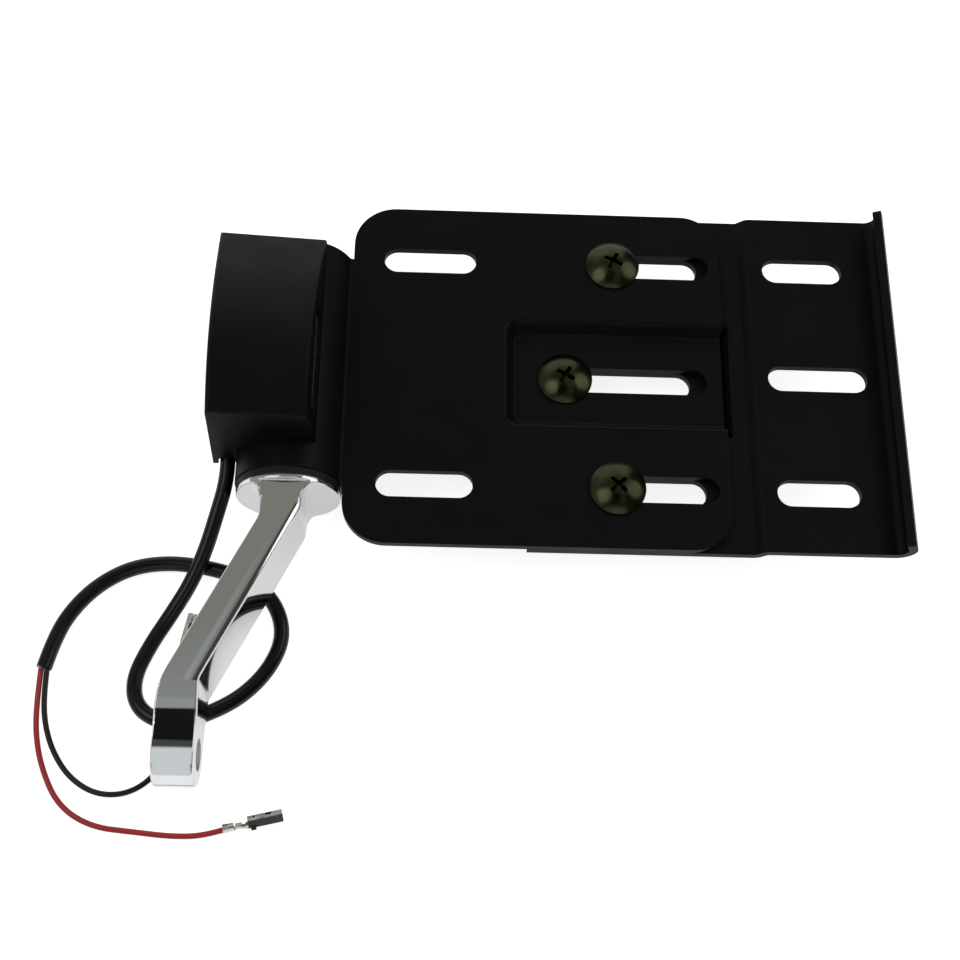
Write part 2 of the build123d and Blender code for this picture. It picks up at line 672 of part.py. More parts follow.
def housing_plan(y, left_lean, inset, back):
    """Section of the light housing across the barrel at one height."""
    front = HOUSING_CROWN_Z + SHEET
    left_back = HOUSING_LEFT_BACK_X - left_lean + inset
    right_front = HOUSING_RIGHT_FRONT_X - inset
    left_front = left_back + HOUSING_LEFT_DRAFT * (front - HOUSING_BACK_Z)
    right_back = right_front + HOUSING_RIGHT_DRAFT * (HOUSING_LIP_Z - back)
    right_end = right_front - HOUSING_RIGHT_DRAFT * (front - HOUSING_LIP_Z)
    left_start = left_back + HOUSING_LEFT_DRAFT * (back - HOUSING_BACK_Z)
    points = [(left_start, -back), (left_front, -front), (right_end, -front), (right_back, -back)]
    plane = Plane(origin=(0, y, 0), x_dir=(1, 0, 0), z_dir=(0, 1, 0))
    return plane * make_face(Polyline(*points, close=True))


def housing_form(inset, back):
    """The light housing's outer form, or the form of its hollow with an inset."""
    sides = loft([housing_side(x, inset) for x in (BARREL_X - 2 * BARREL_R, BARREL_X + BARREL_R)], ruled=True)
    low = housing_plan(HOUSING_BOTTOM, 0, inset, back)
    high = housing_plan(BARREL_TOP, HOUSING_LEFT_LEAN, inset, back)
    return sides & loft([low, high], ruled=True)


def housing_screw_frame(y):
    """Frame of a housing screw: on the barrel's axis, Z radially out to the front left."""
    return Pos(BARREL_X, y, BARREL_Z) * Rot(Y=-HOUSING_SCREW_TURN)


def lens_frame():
    """Frame of the lens: on the housing's right wall, Z out of it, Y along the barrel."""
    x = HOUSING_RIGHT_FRONT_X + HOUSING_RIGHT_DRAFT * (HOUSING_LIP_Z - LENS_Z)
    lean = math.degrees(math.atan(HOUSING_RIGHT_DRAFT))
    return Pos(x, LENS_Y, LENS_Z) * Rot(Y=90 - lean)


def lens_slab(grow, z0, z1):
    """Rounded slab of the lens opening's form, grown all round, in the lens frame."""
    outline = RectangleRounded(
        LENS_HEIGHT + 2 * grow, LENS_LENGTH + 2 * grow, LENS_CORNER_R + max(grow, -LENS_CORNER_R / 2)
    )
    return extrude(Pos(0, 0, z0) * outline, z1 - z0)


def light_housing():
    """Cast shell wrapped round the barrel, open towards it."""
    form = housing_form(0, HOUSING_BACK_Z)
    front_edges = [
        edge
        for edge in form.edges()
        if edge.center().Z > HOUSING_TOP_Z - HOUSING_CANT - 1 and edge.length > LENS_HEIGHT
    ]
    form = fillet(front_edges, HOUSING_EDGE_R)
    shell = form - housing_form(HOUSING_WALL, 2 * HOUSING_BACK_Z)
    for y in HOUSING_SCREW_YS:
        shell += housing_screw_frame(y) * upright(HOUSING_BOSS_D / 2, 0, 3 * BARREL_R) & form
    shell -= along_barrel(BARREL_R + HOUSING_GAP, 2 * HOUSING_BOTTOM, 2 * BARREL_TOP)
    # What lies right of the barrel behind its crown is open
    shell -= span(BARREL_X, 0, 2 * HOUSING_BOTTOM, 2 * BARREL_TOP, 2 * HOUSING_BACK_Z, BARREL_Z)
    for y in HOUSING_SCREW_YS:
        hole = upright(HOUSING_SCREW_D / 2 + THREAD_GAP, 0, BARREL_BORE_R + HOUSING_SCREW_LENGTH + 1)
        shell -= housing_screw_frame(y) * hole
    shell -= lens_frame() * lens_slab(0, -2 * HOUSING_WALL, HOUSING_WALL)
    shell -= cable_notch()
    return shell


def cable_notch():
    """Notch in the housing's underside, open to the back, where the lead passes."""
    y0, y1 = HOUSING_BOTTOM - 1, HOUSING_BOTTOM + 2 * HOUSING_WALL
    above, below = (Vector(*point) for point in SHEATH_ROUTE[2:4])
    share = (above.Y - HOUSING_BOTTOM) / (above.Y - below.Y)
    middle = above + (below - above) * share
    half = SHEATH_D / 2 + NOTCH_GAP
    throat = span(middle.X - half, middle.X + half, y0, y1, 2 * HOUSING_BACK_Z, middle.Z)
    round_end = Pos(middle.X, (y0 + y1) / 2, middle.Z) * Rot(X=90) * Cylinder(half, y1 - y0)
    return throat + round_end


def lamp_lens():
    """Clear tray: a face in the wall's opening, a flange behind the wall, walls back to the board."""
    seat = -HOUSING_WALL
    flange_back = seat - LENS_FLANGE_T
    tray_back = flange_back - LENS_TRAY
    lens = lens_slab(-LENS_GAP, tray_back, -LENS_RECESS) + lens_slab(LENS_RIM, flange_back, seat)
    hollow = lens_slab(-LENS_GAP - LENS_TRAY_WALL, tray_back, -LENS_RECESS - LENS_FACE_T)
    return lens_frame() * (lens - hollow)


def board_back():
    """Back face of the lamp board in the lens frame."""
    return -HOUSING_WALL - LENS_FLANGE_T - LENS_TRAY - BOARD_T


def led_board():
    board = Box(LENS_HEIGHT + 2 * LENS_RIM, LENS_LENGTH + 2 * LENS_RIM, BOARD_T)
    return lens_frame() * Pos(0, 0, board_back() + BOARD_T / 2) * board


def leds():
    chip = Box(LED_WIDTH, LED_LENGTH, LED_T)
    dish = Pos(0, 0, LED_T / 2) * Cylinder(LED_WIDTH / 3, LED_T / 3)
    z = board_back() + BOARD_T + LED_T / 2
    ys = [(index - (LED_COUNT - 1) / 2) * LED_PITCH for index in range(LED_COUNT)]
    return [lens_frame() * Pos(0, y, z) * (chip - dish) for y in ys]


def board_resistors():
    z = board_back() - RESISTOR_T / 2
    body = Box(RESISTOR_WIDTH, RESISTOR_LENGTH, RESISTOR_T)
    return [lens_frame() * Pos(0, y, z) * body for y in RESISTOR_YS]


def housing_screws():
    """Socket head screws from inside the barrel, their heads on its bore."""
    head = upright(HOUSING_SCREW_HEAD_D / 2, BARREL_BORE_R - HOUSING_SCREW_HEAD_T, BARREL_BORE_R)
    head = chamfer(head.edges().sort_by(Axis.Z)[0], HOUSING_SCREW_HEAD_T / 4)
    shank = upright(HOUSING_SCREW_D / 2, BARREL_BORE_R, BARREL_BORE_R + HOUSING_SCREW_LENGTH)
    socket_base = Pos(0, 0, BARREL_BORE_R - HOUSING_SCREW_HEAD_T)
    socket = extrude(
        socket_base * RegularPolygon(HOUSING_SCREW_SOCKET / math.sqrt(3), 6), HOUSING_SCREW_HEAD_T / 2
    )
    return [housing_screw_frame(y) * (head + shank - socket) for y in HOUSING_SCREW_YS]


def arc_radii(route):
    """Radius of the arc at each inner point: 0.45 of the shorter run over the tangent of half the turn."""
    radii = []
    for before, here, after in zip(route, route[1:], route[2:]):
        run_in = Vector(*here) - Vector(*before)
        run_out = Vector(*after) - Vector(*here)
        turn = math.radians(run_in.get_angle(run_out))
        radii.append(0.45 * min(run_in.length, run_out.length) / math.tan(turn / 2))
    return radii


def cord(name, route, diameter):
    """Tube along straight runs joined by tangent arcs."""
    radii = arc_radii(route)
    path = FilletPolyline(*route, radius=radii)
    start = Plane(origin=path @ 0, z_dir=path % 0)
    tube = sweep(start * Circle(diameter / 2), path=path)
    expected = math.pi * diameter**2 / 4 * path.length
    print(name, "length", round(path.length, 1), "volume share", round(tube.volume / expected, 4))
    print(name, "radii", [round(radius, 1) for radius in radii])
    return tube


def terminal(route):
    """Crimp terminal flat on the table, its barrel round the wire's end and in line with it."""
    bore = WIRE_D / 2 + THREAD_GAP
    crimp_r = bore + TAB_CRIMP_WALL
    box_x = TAB_CRIMP_LENGTH / 2 + TAB_NECK_LENGTH + TAB_BOX_LENGTH / 2
    box_z = TAB_BOX_HEIGHT / 2 - crimp_r
    box = Box(TAB_BOX_LENGTH, TAB_BOX_WIDTH, TAB_BOX_HEIGHT)
    box -= Box(TAB_BOX_LENGTH, TAB_BOX_WIDTH - 2 * TAB_SHEET, TAB_BOX_HEIGHT - 2 * TAB_SHEET)
    neck_end = TAB_CRIMP_LENGTH / 2 + TAB_NECK_LENGTH
    neck = span(0, neck_end, -bore, bore, -crimp_r, -crimp_r + TAB_SHEET)
    crimp = Rot(Y=90) * Cylinder(crimp_r, TAB_CRIMP_LENGTH)
    piece = Pos(box_x, 0, box_z) * box + neck + crimp - Rot(Y=90) * Cylinder(bore, TAB_CRIMP_LENGTH)
    before, end = (Vector(*point) for point in route[-2:])
    turn = math.degrees(math.atan2(end.Y - before.Y, end.X - before.X))
    return Pos(end.X, end.Y, LOWEST_Z + crimp_r) * Rot(Z=turn) * piece


def write(name, shape):
    """Write one piece, or a list of like pieces, in the part's own frame."""
    pieces = shape if isinstance(shape, list) else [shape]
    solids = [solid for piece in pieces for solid in piece.solids()]
    whole = solids[0] if len(solids) == 1 else Compound(children=solids)
    export_step(Pos(*ORIGIN) * whole, f"parts/{name}.step")


os.makedirs("parts", exist_ok=True)
write("main_plate", main_plate())
write("extension_plate", extension_plate())
write("plate_screws", plate_screws())
write("flat_washers", flat_washers())
write("spring_washers", spring_washers())
write("plate_nuts", plate_nuts())
write("barrel_cap", barrel_cap())
write("friction_washer", friction_washer())
write("pivot_washer", pivot_washer())
write("pivot_spring_washer", pivot_spring_washer())
write("pivot_nut", pivot_nut())
write("arm", arm())
write("light_housing", light_housing())
write("lamp_lens", lamp_lens())
write("led_board", led_board())
write("leds", leds())
write("board_resistors", board_resistors())
write("housing_screws", housing_screws())
write("cable_sheath", cord("cable_sheath", SHEATH_ROUTE, SHEATH_D))
write("red_wire", cord("red_wire", RED_ROUTE, WIRE_D))
write("black_wire", cord("black_wire", BLACK_ROUTE, WIRE_D))
write("red_terminal", terminal(RED_ROUTE))
write("black_terminal", terminal(BLACK_ROUTE))
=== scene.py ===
import json
import math

import bmesh
import bpy
from mathutils import Matrix, Vector


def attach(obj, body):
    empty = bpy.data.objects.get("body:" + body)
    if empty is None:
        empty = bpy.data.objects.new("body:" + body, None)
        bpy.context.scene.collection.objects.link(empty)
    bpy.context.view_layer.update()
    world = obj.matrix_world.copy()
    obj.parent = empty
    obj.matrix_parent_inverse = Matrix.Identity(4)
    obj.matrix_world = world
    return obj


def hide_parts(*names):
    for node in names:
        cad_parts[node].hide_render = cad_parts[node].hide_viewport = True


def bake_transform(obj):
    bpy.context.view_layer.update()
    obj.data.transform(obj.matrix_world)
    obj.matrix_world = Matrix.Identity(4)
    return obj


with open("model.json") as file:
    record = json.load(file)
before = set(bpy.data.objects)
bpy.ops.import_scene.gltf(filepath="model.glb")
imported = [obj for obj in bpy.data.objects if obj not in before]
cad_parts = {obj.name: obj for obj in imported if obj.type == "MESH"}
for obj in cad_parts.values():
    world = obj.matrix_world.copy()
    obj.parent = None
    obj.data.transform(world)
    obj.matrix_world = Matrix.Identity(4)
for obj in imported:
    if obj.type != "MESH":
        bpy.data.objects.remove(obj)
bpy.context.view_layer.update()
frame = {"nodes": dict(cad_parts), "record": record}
nodes = frame["nodes"]
MM = 0.001

# Routes of the lead, in metres, the control points of one spline each.
# They start from the routes in part.py and follow the photograph.
SHEATH_ROUTE = [
    (-0.08668, 0.02858, 0.02210), (-0.08688, 0.02007, 0.01770), (-0.08707, 0.01057, 0.01440),
    (-0.08697, 0.00006, 0.01270), (-0.08924, -0.00946, 0.01080), (-0.09175, -0.01849, 0.00800),
    (-0.09548, -0.02729, 0.00480), (-0.10048, -0.03550, 0.00240), (-0.10529, -0.04414, 0.00210),
    (-0.10888, -0.05363, 0.00230), (-0.10693, -0.06183, 0.00350), (-0.09907, -0.06613, 0.00430),
    (-0.08962, -0.06356, 0.00310), (-0.07985, -0.05793, 0.00210), (-0.07262, -0.04960, 0.00210),
    (-0.06948, -0.03982, 0.00210), (-0.07341, -0.02969, 0.00210), (-0.08216, -0.02410, 0.00210),
    (-0.09200, -0.02141, 0.00210), (-0.10218, -0.02031, 0.00210), (-0.11199, -0.02185, 0.00210),
    (-0.12033, -0.02673, 0.00210), (-0.12659, -0.03367, 0.00210), (-0.13076, -0.04197, 0.00210),
    (-0.13267, -0.05100, 0.00210),
]
RED_ROUTE = [
    (-0.13347, -0.05107, 0.00190), (-0.13373, -0.05932, 0.00090), (-0.13306, -0.06815, 0.00075),
    (-0.13048, -0.07721, 0.00075), (-0.12514, -0.08701, 0.00075), (-0.11611, -0.09245, 0.00075),
    (-0.10472, -0.09357, 0.00075), (-0.09467, -0.09455, 0.00080), (-0.08620, -0.09415, 0.00115),
    (-0.07960, -0.09180, 0.00115),
]
BLACK_ROUTE = [
    (-0.13188, -0.05118, 0.00190), (-0.13209, -0.05844, 0.00090), (-0.13081, -0.06618, 0.00075),
    (-0.12779, -0.07349, 0.00075), (-0.12271, -0.08010, 0.00075), (-0.11534, -0.08426, 0.00075),
    (-0.10697, -0.08379, 0.00075), (-0.10007, -0.07834, 0.00075), (-0.09918, -0.06982, 0.00075),
    (-0.09888, -0.06172, 0.00080), (-0.09757, -0.05392, 0.00115), (-0.09667, -0.04633, 0.00115),
]
SHEATH_D = 0.0042
WIRE_D = 0.0015

# Thread on the plate screws: pitch, and the height below which it shows
THREAD_PITCH = 0.001
THREAD_TOP = 0.0148

# Polish of the arm's front: it rolls over the slope to the boss, and over its right edge
ROLL_FROM, ROLL_TO = -0.0643, -0.0806
ROLL_RADIUS = 0.028
EDGE_AT = (-0.065125, -0.0121, 0.0)
EDGE_HEADING = math.radians(-25.5)
EDGE_WIDTH = 0.0034
EDGE_TILT = 0.52
EDGE_END = -0.0605
FRONT_TOP = -0.012
ARM_EDGE = 0.0009

# The bore through the boss is not polished. The polish starts at its rim.
BORE = next(mount for mount in frame["record"]["mounts"] if mount["name"] == "axle_bore")
BORE_RADIUS = BORE["dims"]["r_mm"] * MM
RIM_FROM, RIM_TO = 0.00015, 0.00025

# Terminals, in millimetres along the wire, whose line lies WIRE_HEIGHT over the terminal's bottom
WIRE_HEIGHT = 1.2
FOLD_WALL = 0.32
FOLD_CORNER = 0.3
SOFT_EDGE = 0.08
# Radius, wall, half opening in degrees, drop below the wire's line, start and end of each crimp
CRIMPS = (
    (1.18, 0.3, 16, 0.0, -2.0, -0.6),
    (1.12, 0.3, 9, 0.04, -0.6, 0.9),
    (0.82, 0.28, 7, 0.12, 1.3, 3.0),
)
# Right half of the outline, start and end of each stretch of the neck
NECKS = (
    ([(0.5, 0.3), (0.62, 0.75), (0.36, 0.9)], 0.7, 1.5),
    ([(0.55, 0.22), (0.7, 0.9), (0.48, 0.95), (0.4, 0.55)], 2.9, 4.0),
    ([(0.75, 0.15), (0.85, 1.2), (0.6, 1.25), (0.5, 0.5)], 3.9, 4.8),
)
# Start, end and gap at the top of each stretch of the receptacle
FOLDS = ((4.6, 6.1, 0.16), (6.1, 6.6, 0.95), (6.6, 9.3, 0.16), (9.3, 10.9, 0.8), (10.9, 13.6, 0.16))
# Wing on the side of the red wire's receptacle: how far out and up its corners lie, its start and end
WING = ((0.0, 0.05), (0.75, 0.05), (0.6, 0.5), (0.0, 1.1))
WING_FROM, WING_TO = 5.2, 6.5

# Camera, fitted to the photograph
CAMERA_AT = (-0.02948, -0.16988, 0.40441)
CAMERA_TURN = (-23.711, 1.580, -1.467)
FOCAL_PX = 1553.82
PHOTO_PX = 960.0
SENSOR_MM = 36.0

# Floor: half its width, and its glow as seen straight and in polished faces
FLOOR_HALF = 3.0
FLOOR_SEEN = 0.85
FLOOR_MIRRORED = 0.5
STRAIGHT_RAYS = ("Is Camera Ray", "Is Transmission Ray")
MIRRORED_RAYS = ("Is Glossy Ray",)


# Shader helpers
def material(name, color, roughness, metallic=0.0, specular=0.5):
    mat = bpy.data.materials.new(name)
    mat.use_nodes = True
    tree = mat.node_tree
    shader = tree.nodes["Principled BSDF"]
    shader.inputs["Base Color"].default_value = (*color, 1.0)
    shader.inputs["Roughness"].default_value = roughness
    shader.inputs["Metallic"].default_value = metallic
    shader.inputs["Specular IOR Level"].default_value = specular
    return mat, tree, shader


def place(tree):
    found = tree.nodes.get("place")
    if found is None:
        found = tree.nodes.new("ShaderNodeTexCoord")
        found.name = "place"
    return found.outputs["Object"]


def noise(tree, scale, detail=3.0):
    node = tree.nodes.new("ShaderNodeTexNoise")
    node.inputs["Scale"].default_value = scale
    node.inputs["Detail"].default_value = detail
    tree.links.new(place(tree), node.inputs["Vector"])
    return node.outputs["Fac"]


def spread(tree, value, low, high, from_low=0.0, from_high=1.0):
    """Maps value from one range to another, and holds it at the ends."""
    node = tree.nodes.new("ShaderNodeMapRange")
    node.inputs["From Min"].default_value = from_low
    node.inputs["From Max"].default_value = from_high
    node.inputs["To Min"].default_value = low
    node.inputs["To Max"].default_value = high
    tree.links.new(value, node.inputs["Value"])
    return node.outputs["Result"]


def uneven(tree, scale, detail, low, high):
    """Cloudy value between low and high."""
    return spread(tree, noise(tree, scale, detail), low, high, 0.3, 0.7)


def joined(tree, operation, first, second=0.0):
    """Math node. Floats are set as values, and sockets are linked."""
    node = tree.nodes.new("ShaderNodeMath")
    node.operation = operation
    for socket, value in zip(node.inputs, (first, second)):
        if isinstance(value, float):
            socket.default_value = value
        else:
            tree.links.new(value, socket)
    return node.outputs[0]


def vectors(tree, operation, first, second=(0.0, 0.0, 0.0)):
    """Vector math node of a socket and a fixed vector."""
    node = tree.nodes.new("ShaderNodeVectorMath")
    node.operation = operation
    node.inputs[1].default_value = second
    tree.links.new(first, node.inputs[0])
    return node.outputs["Value" if operation in ("DOT_PRODUCT", "DISTANCE") else "Vector"]


def two_colors(tree, factor, first, second):
    node = tree.nodes.new("ShaderNodeMix")
    node.data_type = "RGBA"
    for index, color in ((6, first), (7, second)):
        if isinstance(color, tuple):
            node.inputs[index].default_value = (*color, 1.0)
        else:
            tree.links.new(color, node.inputs[index])
    tree.links.new(factor, node.inputs["Factor"])
    return node.outputs[2]


def axis_of(tree, vector, axis):
    node = tree.nodes.new("ShaderNodeSeparateXYZ")
    tree.links.new(vector, node.inputs[0])
    return node.outputs[axis]


def surface(tree, shader, height, distance, strength, edge):
    """Bump over softened edges."""
    node = tree.nodes.new("ShaderNodeBump")
    node.inputs["Distance"].default_value = distance
    node.inputs["Strength"].default_value = strength
    tree.links.new(height, node.inputs["Height"])
    if edge:
        soft = tree.nodes.new("ShaderNodeBevel")
        soft.samples = 6
        soft.inputs["Radius"].default_value = edge
        tree.links.new(soft.outputs[0], node.inputs["Normal"])
    tree.links.new(node.outputs["Normal"], shader.inputs["Normal"])
    return node


def lighter(color):
    return tuple(min(1.0, channel * 1.2) for channel in color)


# Materials
def powder_coat(name, color, low, high, grain, edge):
    mat, tree, shader = material(name, color, low, specular=0.10)
    tree.links.new(uneven(tree, 90.0, 4.0, low, high), shader.inputs["Roughness"])
    clouds = spread(tree, noise(tree, 35.0), 0.0, 1.0, 0.35, 0.65)
    tree.links.new(two_colors(tree, clouds, color, lighter(color)), shader.inputs["Base Color"])
    surface(tree, shader, noise(tree, grain, 2.0), 0.00004, 0.35, edge)
    return mat


def recess_shade(tree, distance):
    """Painted shade: 1 on open surfaces, falling to 0 in narrow recesses."""
    node = tree.nodes.new("ShaderNodeAmbientOcclusion")
    node.samples = 8
    node.inputs["Distance"].default_value = distance
    return spread(tree, node.outputs["AO"], 0.0, 1.0, 0.45, 0.85)


def zinc(name, first, second, low, high, edge=0.0002, reach=0.0012):
    """Plated metal of two mixed colours, with painted shade in recesses narrower than reach."""
    mat, tree, shader = material(name, first, low, 1.0)
    plated = two_colors(tree, spread(tree, noise(tree, 160.0, 3.0), 0.0, 1.0, 0.35, 0.65), first, second)
    # Painted shade: in recesses the base colour falls to this dark copy of the plating.
    dark = tuple(channel * 0.06 for channel in first)
    tree.links.new(two_colors(tree, recess_shade(tree, reach), dark, plated), shader.inputs["Base Color"])
    tree.links.new(uneven(tree, 420.0, 4.0, low, high), shader.inputs["Roughness"])
    surface(tree, shader, noise(tree, 1500.0, 2.0), 0.00003, 0.3, edge)
    return mat


def threaded_zinc(name, first, second, low, high):
    """Zinc with a thread on the shanks behind the plates."""
    mat = zinc(name, first, second, low, high)
    tree = mat.node_tree
    bump = next(node for node in tree.nodes if node.type == "BUMP")
    height = axis_of(tree, place(tree), 2)
    turns = joined(tree, "PINGPONG", height, THREAD_PITCH / 2)
    crest = joined(tree, "MULTIPLY", turns, joined(tree, "LESS_THAN", height, THREAD_TOP))
    grain = joined(tree, "MULTIPLY", bump.inputs["Height"].links[0].from_socket, 0.00001)
    tree.links.new(joined(tree, "ADD", crest, grain), bump.inputs["Height"])
    bump.inputs["Distance"].default_value = 1.0
    bump.inputs["Strength"].default_value = 1.0
    return mat


def front_normal(tree, along):
    """Normal of the arm's front: it rolls down over the slope to the boss, and out at the right edge."""
    outward = (math.cos(EDGE_HEADING), math.sin(EDGE_HEADING), 0.0)
    edge = Vector(EDGE_AT).dot(outward)
    across = vectors(tree, "DOT_PRODUCT", place(tree), outward)
    lean = spread(tree, across, 0.0, EDGE_TILT, edge - EDGE_WIDTH, edge)
    lean = joined(tree, "MULTIPLY", lean, joined(tree, "GREATER_THAN", along, EDGE_END))
    roll = spread(tree, along, 0.0, (ROLL_FROM - ROLL_TO) / ROLL_RADIUS, ROLL_FROM, ROLL_TO)
    leaned = joined(tree, "MULTIPLY", lean, outward[1])
    rolled = tree.nodes.new("ShaderNodeCombineXYZ")
    tree.links.new(joined(tree, "MULTIPLY", lean, outward[0]), rolled.inputs[0])
    tree.links.new(joined(tree, "SUBTRACT", leaned, joined(tree, "TANGENT", roll)), rolled.inputs[1])
    rolled.inputs[2].default_value = 1.0
    return vectors(tree, "NORMALIZE", rolled.outputs[0])


def front_mask(tree, along):
    """1 on the arm's front, which faces up, from FRONT_TOP to ROLL_TO."""
    facing = tree.nodes.new("ShaderNodeNewGeometry").outputs["True Normal"]
    upward = spread(tree, axis_of(tree, facing, 2), 0.0, 1.0, 0.5, 0.55)
    sideways = joined(tree, "ABSOLUTE", axis_of(tree, facing, 0))
    mask = joined(tree, "MULTIPLY", upward, spread(tree, sideways, 1.0, 0.0, 0.5, 0.6))
    mask = joined(tree, "MULTIPLY", mask, joined(tree, "GREATER_THAN", along, ROLL_TO))
    return joined(tree, "MULTIPLY", mask, joined(tree, "LESS_THAN", along, FRONT_TOP))


def outside_bore(tree):
    """0 in the bore through the boss, and 1 around it."""
    flat = vectors(tree, "MULTIPLY", place(tree), (0, 1, 1))
    radius = vectors(tree, "DISTANCE", flat, (0, *BORE["pos_m"][1:]))
    return spread(tree, radius, 0.0, 1.0, BORE_RADIUS + RIM_FROM, BORE_RADIUS + RIM_TO)


def chrome(name):
    """Mirror plating, with the arm's front shaded by front_normal."""
    mat, tree, shader = material(name, (0.80, 0.81, 0.82), 0.04, 1.0)
    tree.links.new(uneven(tree, 60.0, 3.0, 0.02, 0.07), shader.inputs["Roughness"])
    tree.links.new(outside_bore(tree), shader.inputs["Metallic"])
    along = axis_of(tree, place(tree), 1)
    ripple = joined(tree, "MULTIPLY", noise(tree, 45.0, 1.0), 0.000007)
    bump = surface(tree, shader, ripple, 1.0, 1.0, ARM_EDGE)
    chosen = tree.nodes.new("ShaderNodeMix")
    chosen.data_type = "VECTOR"
    tree.links.new(front_mask(tree, along), chosen.inputs["Factor"])
    tree.links.new(bump.inputs["Normal"].links[0].from_socket, chosen.inputs[4])
    tree.links.new(front_normal(tree, along), chosen.inputs[5])
    tree.links.new(chosen.outputs[1], bump.inputs["Normal"])
    return mat


def plastic(name, color, low, high, grain, coat=0.0, specular=0.5):
    mat, tree, shader = material(name, color, low, specular=specular)
    tree.links.new(uneven(tree, 130.0, 3.0, low, high), shader.inputs["Roughness"])
    tree.links.new(two_colors(tree, noise(tree, 70.0), color, lighter(color)), shader.inputs["Base Color"])
    surface(tree, shader, noise(tree, grain, 2.0), 0.00003, 0.3, 0.0)
    shader.inputs["Coat Weight"].default_value = coat
    shader.inputs["Coat Roughness"].default_value = 0.08
    return mat


def clear(name):
    mat, tree, shader = material(name, (0.26, 0.28, 0.30), 0.08)
    shader.inputs["Transmission Weight"].default_value = 0.85
    shader.inputs["IOR"].default_value = 1.49
    tree.links.new(uneven(tree, 300.0, 2.0, 0.05, 0.16), shader.inputs["Roughness"])
    return mat


SHEET_BLACK = (0.0042, 0.0042, 0.0043)
CASTING_BLACK = (0.0034, 0.0036, 0.0036)
PLASTIC_BLACK = (0.010, 0.010, 0.010)
SHEATH_BLACK = (0.0035, 0.0035, 0.0035)
WIRE_BLACK = (0.005, 0.005, 0.005)
WIRE_RED = (0.40, 0.025, 0.025)
OLIVE = ((0.056, 0.061, 0.031), (0.037, 0.042, 0.021), 0.17, 0.28)
MATERIALS = {
    "black_sheet": powder_coat("black powder coat", SHEET_BLACK, 0.36, 0.46, 2600.0, 0.00045),
    "black_casting": powder_coat("black coated casting", CASTING_BLACK, 0.42, 0.54, 1900.0, 0.0005),
    "chrome_casting": chrome("polished chrome"),
    "olive_zinc": zinc("olive passivated zinc", *OLIVE),
    "bright_zinc": zinc("bright zinc", (0.62, 0.63, 0.62), (0.52, 0.53, 0.54), 0.22, 0.4),
    "black_plastic": plastic("black moulded plastic", PLASTIC_BLACK, 0.45, 0.6, 1800.0, specular=0.25),
    "clear_lens": clear("clear lens"),
    "board_green": plastic("green solder mask", (0.03, 0.16, 0.06), 0.25, 0.4, 900.0, coat=0.5),
    "led_white": plastic("white chip package", (0.8, 0.78, 0.6), 0.3, 0.45, 900.0),
    "chip_black": plastic("black ceramic chip", (0.02, 0.02, 0.02), 0.4, 0.5, 900.0),
    "black_sheath": plastic("glossy black sheath", SHEATH_BLACK, 0.2, 0.3, 700.0, specular=0.3),
    "red_wire": plastic("red insulation", WIRE_RED, 0.3, 0.42, 900.0, coat=0.1, specular=0.3),
    "black_wire": plastic("black insulation", WIRE_BLACK, 0.25, 0.36, 900.0, coat=0.1, specular=0.3),
    "tin_plate": zinc("tin plate", (0.82, 0.82, 0.78), (0.66, 0.65, 0.55), 0.22, 0.4, reach=0.0003),
}
# Darker copy of the tin plate: painted shade on the sides of the receptacle and on the wing.
SHADED_TIN = zinc("tin plate with painted shade", (0.075, 0.077, 0.075), (0.055, 0.057, 0.055), 0.3, 0.45, reach=0.0003)
for part in frame["record"]["subparts"]:
    shown = nodes[part["node"]]
    shown.data.materials.clear()
    shown.data.materials.append(MATERIALS[part["material_slot"]])
nodes["plate_screws"].data.materials[0] = threaded_zinc("olive zinc screw", *OLIVE)


def linked(name, data):
    made = bpy.data.objects.new(name, data)
    bpy.context.scene.collection.objects.link(made)
    return made


# The lead
def evaluated_mesh(drawn):
    bpy.context.view_layer.update()
    return bpy.data.meshes.new_from_object(drawn.evaluated_get(bpy.context.evaluated_depsgraph_get()))


def tube(name, route, diameter):
    """Mesh tube round the route's spline, with the points of its centreline."""
    curve = bpy.data.curves.new(name, "CURVE")
    curve.dimensions = "3D"
    curve.resolution_u = 16
    line = curve.splines.new("NURBS")
    line.points.add(len(route) - 1)
    for point, at in zip(line.points, route):
        point.co = (*at, 1.0)
    line.order_u = 3
    line.use_endpoint_u = True
    drawn = linked(name, curve)
    bare = evaluated_mesh(drawn)
    points = [Vector(v.co) for v in bare.vertices]
    bpy.data.meshes.remove(bare)
    curve.bevel_depth = diameter / 2
    curve.bevel_resolution = 8
    curve.use_fill_caps = True
    mesh = evaluated_mesh(drawn)
    bpy.data.objects.remove(drawn)
    for face in mesh.polygons:
        face.use_smooth = True
    return linked(name, mesh), points


# Crimp terminals
def extruded(bm, outline, x0, x1, slot=0):
    """Prism along X from an outline of (y, z) points."""
    ends = [[bm.verts.new((x, y, z)) for y, z in outline] for x in (x0, x1)]
    faces = [bm.faces.new(ends[0]), bm.faces.new(list(reversed(ends[1])))]
    for a, b, c, d in zip(ends[0], ends[0][1:] + ends[0][:1], ends[1][1:] + ends[1][:1], ends[1]):
        faces.append(bm.faces.new((b, a, d, c)))
    for face in faces:
        face.material_index = slot


def mirrored(points):
    return [(-y, z) for y, z in reversed(points)]


def both_sides(right):
    """Whole outline from its right half, which starts at the bottom."""
    return mirrored(right[:1]) + right + mirrored(right[1:])


